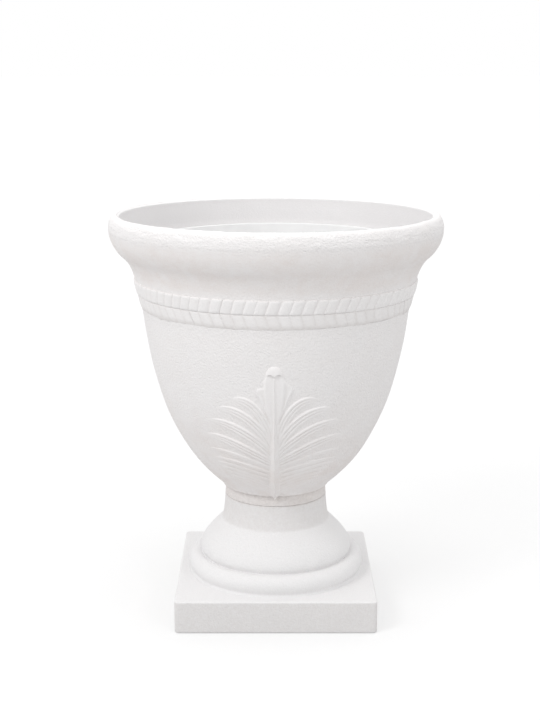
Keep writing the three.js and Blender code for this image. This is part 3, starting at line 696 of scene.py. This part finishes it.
def curledTip(middle):
    # Half an ellipsoid over the blade. Its free edge rises twice between the corners and the dip in
    # the middle, and turns under, back to the wall.
    tip = leaf["tip"]
    across = np.sin(np.linspace(-1, 1, 49) * np.pi / 2)
    fold = tip["fold"] + tip["scallop"] * np.abs(np.sin(np.pi * across)) ** 1.2
    crown = tip["fold"] + tip["height"] * np.sqrt(np.clip(1 - across ** 2, 0, 1))
    crown = np.maximum(crown, fold + 0.2)
    v = np.linspace(0, 1, 24)[:, None] ** 0.8
    over = fold + (crown - fold) * v
    body = 1 - across ** 2 - ((over - tip["fold"]) / tip["height"]) ** 2
    lifts = tip["rise"] * np.sqrt(np.clip(body, 0, 1)) - 0.3 * v
    back = tip["back"] + 0 * across
    lifts = np.vstack([back, lifts[::-1], 0.72 * lifts[0], 0.45 * lifts[0], back])
    over = np.vstack([crown - 0.4, over[::-1], fold + 0.1, fold + 0.9, fold + 1.6])
    sideways = np.degrees(tip["half"] * across / wallAt(over)[0])
    grid = onWall(sideways + middle, over, lifts)
    return shell(grid.transpose(1, 0, 2), closedRows=False)


def midrib(middle):
    # A broad, sharp-crested ridge that tapers upwards and hangs in a point over the collar.
    rib = leaf["rib"]
    t = np.linspace(0, 1, 120)[:, None]
    height = rib["foot"] + (rib["top"] - rib["foot"]) * t
    half = 0.3 + rib["half"] * np.clip(t / 0.045, 0, 1) * (1 - 0.72 * smoothStep(0.1, 0.95, t))
    across = np.linspace(-1, 1, 25)[None, :]
    lifts = (1 - np.abs(across) ** 0.85) * (rib["rise"] - rib["loss"] * t) * smoothStep(-0.02, 0.04, t)
    lifts = lifts + 0.15 - 0.5 * np.abs(across) ** 6
    across = np.concatenate([across, [[0.6, 0, -0.6]]], axis=1)
    lifts = np.concatenate([lifts, np.full((len(t), 3), rib["back"])], axis=1)
    sideways = np.degrees(across * half / wallAt(height)[0])
    return shell(onWall(sideways + middle, height + 0 * sideways, lifts), closedRows=False)


def addLeaf(name, facing):
    # A grid of degrees and heights, lifted off the wall, with its back under the wall. facing is 0
    # on the front of the bowl and 180 on its back.
    f = leaf
    middle = facing + f["lean"]
    turn, height = np.meshgrid(np.linspace(-f["half"], f["half"], f["columns"]),
                               np.linspace(f["foot"], f["top"], f["rows"]))
    lift = blurred(leafLift(turn, height), 2)
    # The relief sinks into the wall along its outer edges, where the wall alone goes on.
    margin = np.minimum(f["half"] - np.abs(turn), f["margin"]) / f["margin"]
    lift = lift * margin + f["ground"] * (1 - margin)
    # What stands above its surroundings is rubbed and painted lighter, and what lies below them holds dirt
    # and painted shade, more so low on the leaf.
    paintedLightAndWear = 1.8 * (lift - blurred(lift, 5)) * (1 + 0.8 * smoothStep(240, 190, height))
    paintedLightAndWear = np.clip(paintedLightAndWear, -1, 0.7)
    lift = lift + wallSwell(np.radians(turn + middle), height)
    face = onWall(turn + middle, height, lift)
    backTurn = np.linspace(turn[:, -1], turn[:, 0], 12).T
    back = onWall(backTurn + middle, height[:, :1] + 0 * backTurn, -f["root"])
    shells = [shell(np.concatenate([face, back], axis=1), closedRows=False),
              curledTip(middle), midrib(middle)]
    # The curled tip and the midrib are a little rubbed and painted lighter all over.
    paintedLightAndWearMarks = [np.concatenate([paintedLightAndWear, 0 * backTurn], axis=1).ravel()] + evenly(0.1, shells[1:])
    addPiece(name, shells, stoneMaterial,
             marks=dict(paintedLightAndWear=paintedLightAndWearMarks, smooth=evenly(f["smooth"], shells)))


addBowl()
addRopeBand()
addLeaf("leaf_front", 0)
addLeaf("leaf_back", 180)


pedestal = dict(
    plinthHalf=117.5, plinthHeight=39, corner=5, edge=2.2, wall=4,
    torusRadius=95, torusSection=12, torusMiddle=50, torusArc=(-37, 113),
    torusFoot=0.88,                 # share of the torus's section that stands out at its foot
    groove=(90.1, 62), tuckMiddle=(84, 68), tuckRadius=8, tuckArc=(-36, 0),
    ogeeCurve=((92, 68, 90, 0.22), (64.6, 105, 135, 0.43)),
    neckFlare=0.8, neckTop=(61.2, 135), neckEdge=0.8,
    socketRadius=57.2, deckTop=125, deckThickness=4, drainRadius=14,
    torusInside=((84, 60), (86, 52), (92, 43)), hollowRadius=98,
    bossCircle=38, bossRadius=6.5, bossLength=24, gusset=2.5, screwHole=2.7, holeDepth=20,
    lump=0.0011, lumpReach=45,      # unevenness, as a share of the radius, and its smallest swing
    smooth=0.55,
)


def squareRing(turn, half, corner):
    # Distance from the axis to a square with rounded corners, in each direction.
    folded = np.abs(np.mod(turn + np.pi / 4, np.pi / 2) - np.pi / 4)
    flat = half / np.cos(folded)
    middle = half - corner
    toMiddle = middle * (np.cos(folded) + np.sin(folded))
    rounding = toMiddle + np.sqrt(np.clip(toMiddle ** 2 - 2 * middle ** 2 + corner ** 2, 0, None))
    return np.where(half * np.tan(folded) <= middle, flat, rounding)


def fourWays():
    # The directions of the four screws.
    angles = np.radians(45 + 90 * np.arange(4))
    return np.stack([np.cos(angles), np.sin(angles), 0 * angles], axis=1)


def screwBosses(deck):
    # Four posts under the pedestal's deck, each with a thin web out to the wall.
    p = pedestal
    foot, width = deck - p["bossLength"], p["gusset"] / 2
    out = p["socketRadius"] - p["bossCircle"] + 1.5
    post = lathe(rounded([(p["screwHole"], deck - p["holeDepth"], 0), (p["bossRadius"] - 0.8, foot, 0),
                          (p["bossRadius"], foot + 0.8, 0), (p["bossRadius"], deck + 1, 0),
                          (p["screwHole"], deck + 1, 0)], 2), 28)
    web = np.array([(0, -width), (out, -width), (out, width), (0, width)])
    shells = []
    for across in fourWays():
        shells.append(shell(post + across * p["bossCircle"]))
        side = np.array([-across[1], across[0], 0])
        ring = (p["bossCircle"] + web[:, :1]) * across + web[:, 1:] * side
        webGrid = np.stack([ring + (0, 0, foot + 2), ring + (0, 0, deck + 1)])
        shells.append(shell(webGrid, closedRows=False))
    return shells


def addPedestal():
    # One closed grid: each row is a ring that is square, round or between the two. The rings go up
    # the outside and down the hollow.
    p = pedestal
    quarter = np.radians(np.concatenate([np.linspace(0, 42.5, 44), np.linspace(43, 45, 13)]))
    quarter = np.concatenate([quarter[:-1], np.pi / 2 - quarter[:0:-1]])
    turn = np.concatenate([quarter + k * np.pi / 2 for k in range(4)])
    rings = []

    def addSquare(half, corner, z):
        rings.append((squareRing(turn, half, corner), z))

    def addBlend(half, corner, radius, roundness, z):
        rings.append((squareRing(turn, half, corner) * (1 - roundness) + radius * roundness, z))

    def addRound(line):
        for radius, z in line:
            rings.append((radius + 0 * turn, z))

    half, corner, edge, top = p["plinthHalf"], p["corner"], p["edge"], p["plinthHeight"]
    foot = arc((half - edge, edge), edge, -90, 0, 7)
    shoulder = arc((half - edge, top - edge), edge, 0, 90, 8)
    for radius, z in path(foot, (half, edge + 1), straight((half, 8), (half, top - 8), 6),
                          (half, top - edge - 1), shoulder):
        addSquare(radius, max(corner - (half - radius), 0.6), z)
    size = p["torusSection"]
    torus = arc((p["torusRadius"], p["torusMiddle"]), size, *p["torusArc"], 42)
    torus = path((p["torusRadius"] + p["torusFoot"] * size, top), torus)
    for roundness in (0.03, 0.3, 0.6, 0.85, 0.97):
        addBlend(half - edge, corner - edge, torus[0, 0] + 0.4, roundness, top)
    tuck = arc(p["tuckMiddle"], p["tuckRadius"], *p["tuckArc"], 7)
    ogee = bezier(*p["ogeeCurve"], 36)
    neckFoot, neckTop = np.array(p["ogeeCurve"][1][:2]), np.array(p["neckTop"])
    bend = np.array([neckTop[0] + p["neckFlare"], neckFoot[1] + (neckTop[1] - neckFoot[1]) * 0.35])
    t = np.linspace(0, 1, 18)[:, None]
    neck = (1 - t) ** 2 * neckFoot + 2 * (1 - t) * t * bend + t ** 2 * neckTop
    neck = neck[neck[:, 1] < neckTop[1] - 1]
    rim = arc(neckTop - p["neckEdge"], p["neckEdge"], 0, 90, 5)
    addRound(path(torus, p["groove"], tuck, ogee, neck[1:], rim))
    outsideCount = len(rings)
    floor, deck, under = p["deckTop"], p["deckTop"] - p["deckThickness"], top - p["wall"]
    socket, drain = p["socketRadius"], p["drainRadius"]
    addRound(path((socket + 0.5, neckTop[1]), (socket, neckTop[1] - 0.5), (socket, floor + 0.5),
                  (socket - 0.5, floor), (drain + 0.5, floor), (drain, floor - 0.5),
                  (drain, deck + 0.5), (drain + 0.5, deck), (socket - 2, deck), (socket, deck - 2),
                  inset(ogee, p["wall"])[::-1][2:], p["torusInside"], (p["hollowRadius"], under)))
    for squareness in (0.1, 0.5, 0.9):
        addBlend(half - p["wall"], corner, p["hollowRadius"], 1 - squareness, under)
    for z in (under, under - 1, 12, 1, 0.2, 0):
        addSquare(half - p["wall"] + (0.2 if z == 0 else 0), corner, z)
    grid = np.stack([revolved(radius, z, turn) for radius, z in rings])
    heights = grid[..., 2]
    radii = np.hypot(grid[..., 0], grid[..., 1])
    uneven = waves(turn, heights, seed=31, reach=p["lumpReach"])
    lump = 1 + p["lump"] * uneven * smoothStep(4, 8, heights) * (heights < 132)
    lump[outsideCount:] = 1
    grid[..., :2] *= lump[..., None]
    shells = [shell(grid), *screwBosses(deck)]
    # Painted shade on the plinth's sides, a painted contact shadow at its foot, painted shade on the neck
    # and under the collar, and a painted highlight on the plinth's top edge. Stain is mostly kept off the
    # pedestal, but less so on its neck, where it adds to the painted shade.
    side = smoothStep(1, 3, heights) * smoothStep(top - 0.9, top - 1.8, heights)
    edgeHighlight = np.exp(-((heights - top + 0.6) / 0.7) ** 2) * (radii > half - edge)
    onNeck = smoothStep(neckFoot[1] - 2, neckFoot[1] + 1, heights)
    underCollar = smoothStep(neckTop[1] - 1.2, neckTop[1] - 0.5, heights)
    tone = 0.35 * edgeHighlight - 0.5 * side - 0.8 * smoothStep(1.6, 0.6, heights)
    tone = tone - 0.45 * onNeck - 0.55 * underCollar
    tone[outsideCount:] = 0
    paintedLightAndWear = [tone.ravel()] + evenly(0, shells[1:])
    clean = [(0.8 - 0.5 * onNeck).ravel()] + evenly(1, shells[1:])
    addPiece("pedestal_body", shells, stoneMaterial, replaced=["pedestal"],
             marks=dict(paintedLightAndWear=paintedLightAndWear, smooth=evenly(p["smooth"], shells), clean=clean))


addPedestal()


liner = dict(
    wall=2, baseRadius=112, rimRadius=148, height=234, bead=1.5, beadHeight=4, corner=6,
    holeRadius=8, columns=256,
)


def addLiner():
    # A closed line turned round the axis: floor with its hole, corner, sloping wall, beaded rim.
    pot = liner
    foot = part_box("liner")[0].z / mm
    top = foot + pot["height"]
    wall, corner, hole = pot["wall"], pot["corner"], pot["holeRadius"]
    base, rim = pot["baseRadius"], pot["rimRadius"]
    bead, beadFoot = rim + pot["bead"], top - pot["beadHeight"]
    line = rounded([
        (hole, foot, 0.5), (base - corner, foot, 2), (base, foot + corner, 2),
        (rim, beadFoot, 0.6), (bead, beadFoot, 0.6), (bead, top, 0.9), (rim - wall, top, 0.9),
        (base - wall, foot + corner, 2), (base - corner, foot + wall, 2), (hole, foot + wall, 0.5)], 6)
    addPiece("liner_pot", [shell(lathe(line, pot["columns"]))], linerMaterial,
             body="liner", replaced=["liner"])


addLiner()


plug = dict(
    foot=121.3, seat=130.6, bodyRadius=9.7, taper=0.6, flange=14, flangeHeight=3,
    neckFoot=3.4, neck=3.2, neckHeight=1.5, knobRadius=5, knobHeight=9, axis=0.4, columns=96,
)


def addPlug():
    # A line turned round the axis: tapered body, flange, short neck and round knob.
    p = plug
    crown = p["seat"] + p["flangeHeight"]
    knob = arc((0, crown + p["knobHeight"] - p["knobRadius"]), p["knobRadius"], -50, 88, 16)
    body = rounded([
        (p["axis"], p["foot"], 0), (p["bodyRadius"] - p["taper"], p["foot"], 1.2),
        (p["bodyRadius"], p["seat"], 0.05), (p["flange"], p["seat"], 0.6), (p["flange"], crown, 1.0),
        (p["neckFoot"], crown, 0.5), (p["neck"], crown + p["neckHeight"], 0.3)], 6, closed=False)
    grid = lathe(path(body, knob), p["columns"])
    addPiece("drain_plug_rubber", [shell(grid, closedRows=False)], rubberMaterial,
             body="drain_plug", replaced=["drain_plug"])


screw = dict(
    circle=38, headFoot=132.4, headRadius=5, headHeight=3, shank=2.4, length=28,
    pitch=1.6, thread=0.45, point=6, recessDepth=1.5, recessWidth=(1.0, 0.65), recessReach=(2.9, 2.3),
)
washer = dict(radius=7, foot=130.6, thickness=1.5, hole=2.7, columns=48)


def addScrews():
    # A threaded shank, whose radius is a triangle wave that climbs as it turns, and a domed head
    # with a crossed recess. Each screw has a rounded ring as its washer.
    s, w = screw, washer
    foot, top = s["headFoot"] - s["length"], s["headFoot"]
    z = np.linspace(foot, top - 1, 120)[:, None]
    turn = np.linspace(0, 2 * np.pi, 32, endpoint=False)
    point = smoothStep(foot - 0.5, foot + s["point"], z)
    wave = np.abs(np.mod(z / s["pitch"] - turn / (2 * np.pi), 1) * 2 - 1)
    shank = revolved((s["shank"] - s["thread"] * wave) * point + 0.15, z, turn)
    dome = arc((0, top + 1), (s["headRadius"], s["headHeight"] - 1), 5, 90, 20)
    cap = lathe(path((s["shank"], top - 0.4), (s["headRadius"] - 0.3, top),
                     (s["headRadius"], top + 0.3), dome), 64)
    x, y = np.abs(cap[..., 0]), np.abs(cap[..., 1])
    bars = [smoothStep(*s["recessWidth"], a) * smoothStep(*s["recessReach"], b)
            for a, b in ((x, y), (y, x))]
    cap[..., 2] -= s["recessDepth"] * np.maximum(*bars) * (cap[..., 2] > top + 1)
    washerTop = w["foot"] + w["thickness"]
    ring = lathe(rounded([(w["hole"], w["foot"], 0.2), (w["radius"], w["foot"], 0.3),
                          (w["radius"], washerTop, 0.4), (w["hole"], washerTop, 0.3)]), w["columns"])
    for k, across in enumerate(fourWays()):
        place = s["circle"] * across
        shells = [shell(shank + place, closedRows=False), shell(cap + place, closedRows=False)]
        addPiece(f"pan_screw_{k + 1}", shells, steelMaterial, replaced=[f"screw_{k + 1}"])
        addPiece(f"seal_washer_{k + 1}", [shell(ring + place)], rubberMaterial,
                 replaced=[f"screw_washer_{k + 1}"])


addPlug()
addScrews()


studio = dict(
    floorSize=120, floorColour=0.5, floorBounce=0.6,
    floorGlow=0.46, farGlow=0.54, glowReach=(0.5, 2.0),     # glow near and far, and metres of each
    horizon=0.64, zenith=1.1,       # strength of the sky at its edge and overhead
    # name: watts, place in metres, diameter of the lamp
    lamps=dict(key=(17.6, (-1.6, -1.4, 2.0), 1.1), top=(4.2, (0.1, -0.1, 2.1), 0.8),
               fill=(3.8, (1.4, -1.8, 1.5), 0.4)),
    aim=(0, 0, 0.25),
)


def backgroundRays(tree):
    # 1 for rays that see the background directly, by reflection or through glass.
    rays = tree.nodes.new("ShaderNodeLightPath")
    seen = combine(tree, "MAXIMUM", rays.outputs["Is Camera Ray"], rays.outputs["Is Glossy Ray"])
    return combine(tree, "MAXIMUM", seen, rays.outputs["Is Transmission Ray"])


def floorMaterial():
    # Where the floor is seen, it takes the shadow and glows, more so with distance. For light that
    # it throws on the object it is plain.
    s = studio
    material, tree, shader = newMaterial("floor_white")
    tree.nodes.remove(shader)
    bounce = tree.nodes.new("ShaderNodeBsdfDiffuse")
    bounce.inputs["Color"].default_value = (*[s["floorBounce"]] * 3, 1)
    shown = tree.nodes.new("ShaderNodeBsdfDiffuse")
    shown.inputs["Color"].default_value = (*[s["floorColour"]] * 3, 1)
    glow = tree.nodes.new("ShaderNodeEmission")
    away = tree.nodes.new("ShaderNodeVectorMath")
    away.operation = "LENGTH"
    tree.links.new(objectSpace(tree), away.inputs[0])
    glowing = ramp(tree, away.outputs["Value"], *s["glowReach"], s["floorGlow"], s["farGlow"])
    tree.links.new(glowing, glow.inputs["Strength"])
    both = tree.nodes.new("ShaderNodeAddShader")
    tree.links.new(shown.outputs[0], both.inputs[0])
    tree.links.new(glow.outputs[0], both.inputs[1])
    mix = tree.nodes.new("ShaderNodeMixShader")
    sources = (backgroundRays(tree), bounce.outputs[0], both.outputs[0])
    for source, socket in zip(sources, mix.inputs):
        tree.links.new(source, socket)
    tree.links.new(mix.outputs[0], tree.nodes["Material Output"].inputs["Surface"])
    return material


def addStudio():
    # A square floor, three round lamps that face the urn, and a sky that is white where it is seen
    # and a soft gradient where it lights.
    s = studio
    half = s["floorSize"] / 2
    corners = [(-half, -half, 0), (half, -half, 0), (half, half, 0), (-half, half, 0)]
    mesh = bpy.data.meshes.new("floor")
    mesh.from_pydata(corners, [], [(0, 1, 2, 3)])
    mesh.materials.append(floorMaterial())
    floor = placed("floor", mesh)

    world = bpy.data.worlds.new("studio")
    bpy.context.scene.world = world
    world.use_nodes = True
    tree = world.node_tree
    background = tree.nodes["Background"]
    background.inputs["Color"].default_value = (1, 1, 1, 1)
    sky = ramp(tree, upward(tree, "Generated"), 0, 1, s["horizon"], s["zenith"])
    seen = backgroundRays(tree)
    sky = combine(tree, "MULTIPLY", sky, combine(tree, "SUBTRACT", 1, seen))
    tree.links.new(combine(tree, "ADD", sky, seen), background.inputs["Strength"])

    for name, (power, place, size) in s["lamps"].items():
        lamp = bpy.data.lights.new(name, "AREA")
        lamp.shape, lamp.size, lamp.energy = "DISK", size, power
        light = placed(name, lamp)
        aim = np.array(s["aim"]) - np.array(place)
        light.location = place
        light.rotation_euler = (np.arctan2(np.hypot(aim[0], aim[1]), -aim[2]), 0,
                                np.arctan2(aim[1], aim[0]) - np.pi / 2)


view = dict(
    distance=1.521, height=0.645, tilt=12.83, sideways=-0.0068,     # metres, and degrees down
    focalPixels=1304, longSide=720, sensor=36,
)


def addCamera():
    # In front of the urn and tilted down. The lens comes from the focal length in pixels.
    v = view
    camera = bpy.data.cameras.new("camera")
    camera.sensor_width = v["sensor"]
    camera.lens = v["focalPixels"] * v["sensor"] / v["longSide"]
    camera.clip_start, camera.clip_end = 0.05, 100
    stand = placed("camera", camera)
    stand.location = (v["sideways"], -v["distance"], v["height"])
    stand.rotation_euler = (np.radians(90 - v["tilt"]), 0, 0)
    bpy.context.scene.camera = stand


addStudio()
addCamera()
bpy.context.scene.view_settings.view_transform = "Standard"
print("studio and camera made")
